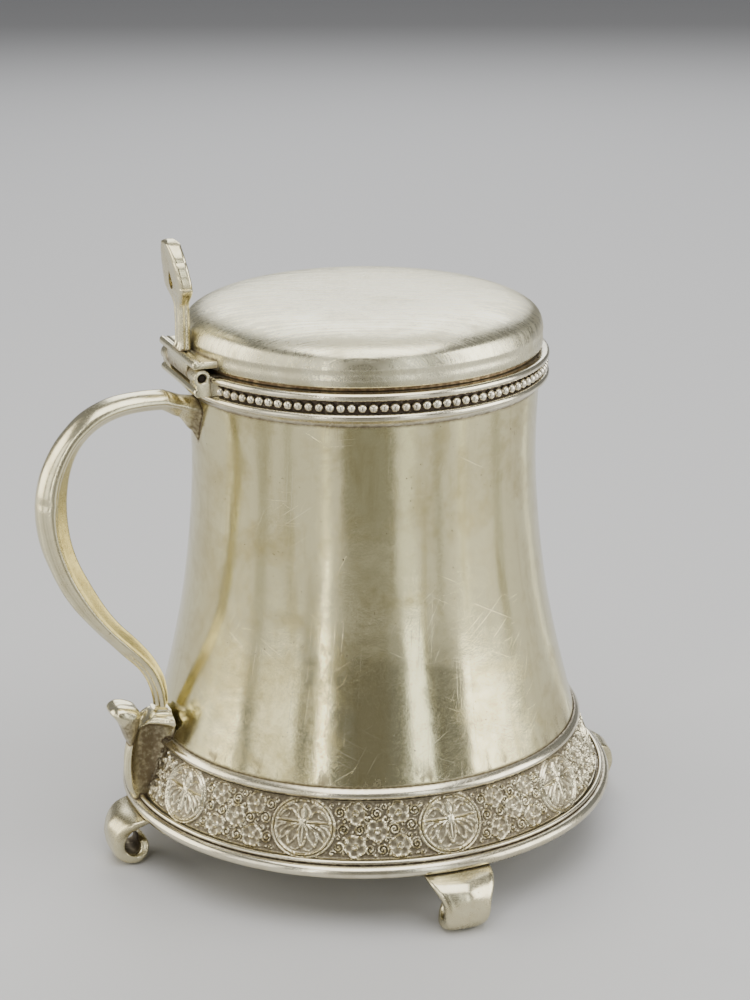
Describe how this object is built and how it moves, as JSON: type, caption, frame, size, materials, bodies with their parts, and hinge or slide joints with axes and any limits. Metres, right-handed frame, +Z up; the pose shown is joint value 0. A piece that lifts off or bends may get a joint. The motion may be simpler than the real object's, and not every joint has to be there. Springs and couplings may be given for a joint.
{
  "type": "beer stein",
  "caption": "Lidded metal beer stein with a hinged dome lid, thumbpiece, C-shaped handle, beaded rim, medallion relief band and scroll feet.",
  "frame": {"origin": "on the vessel's axis, on the ground under the soles of the feet", "axes": "+Z up along the vessel's axis; the handle and the lid's hinge are towards -X; the hinge axis runs along Y"},
  "size_m": [0.1511, 0.137, 0.155],
  "materials": {
    "body_plate": "semi-polished silver plate with warm tarnish",
    "lid_plate": "satin silver plate, finely scratched",
    "relief_plate": "oxidised silver plate, bright on the high spots",
    "rim_plate": "polished silver plate wires with dark grooves",
    "cast_plate": "polished cast silver plate",
    "bezel_plate": "tarnished golden-brown",
    "pin_metal": "dark drawn wire"
  },
  "bodies": {
    "vessel": {"body_wall": "body_plate", "body_floor": "body_plate", "base_flange": "rim_plate", "base_wire": "rim_plate", "base_band": "relief_plate", "base_top_moulding": "rim_plate", "rim_lower_moulding": "rim_plate", "rim_bead_band": "relief_plate", "rim_upper_moulding": "rim_plate", "foot_rear": "cast_plate", "foot_right": "cast_plate", "foot_front": "cast_plate", "foot_left": "cast_plate", "handle": "cast_plate", "handle_socket": "cast_plate", "handle_bracket": "cast_plate", "handle_leaf": "cast_plate", "hinge_body_leaf": "cast_plate", "hinge_pin": "pin_metal"},
    "lid": {"lid_hinge_leaf": "cast_plate", "lid_shell": "lid_plate", "lid_bezel": "bezel_plate", "thumbpiece": "cast_plate"}
  },
  "joints": [
    {"name": "lid_hinge", "type": "hinge", "parent": "vessel", "child": "lid", "pos_m": [-0.04475, 0, 0.1247], "axis": [0, -1, 0], "range_deg": [0, 90]}
  ]
}
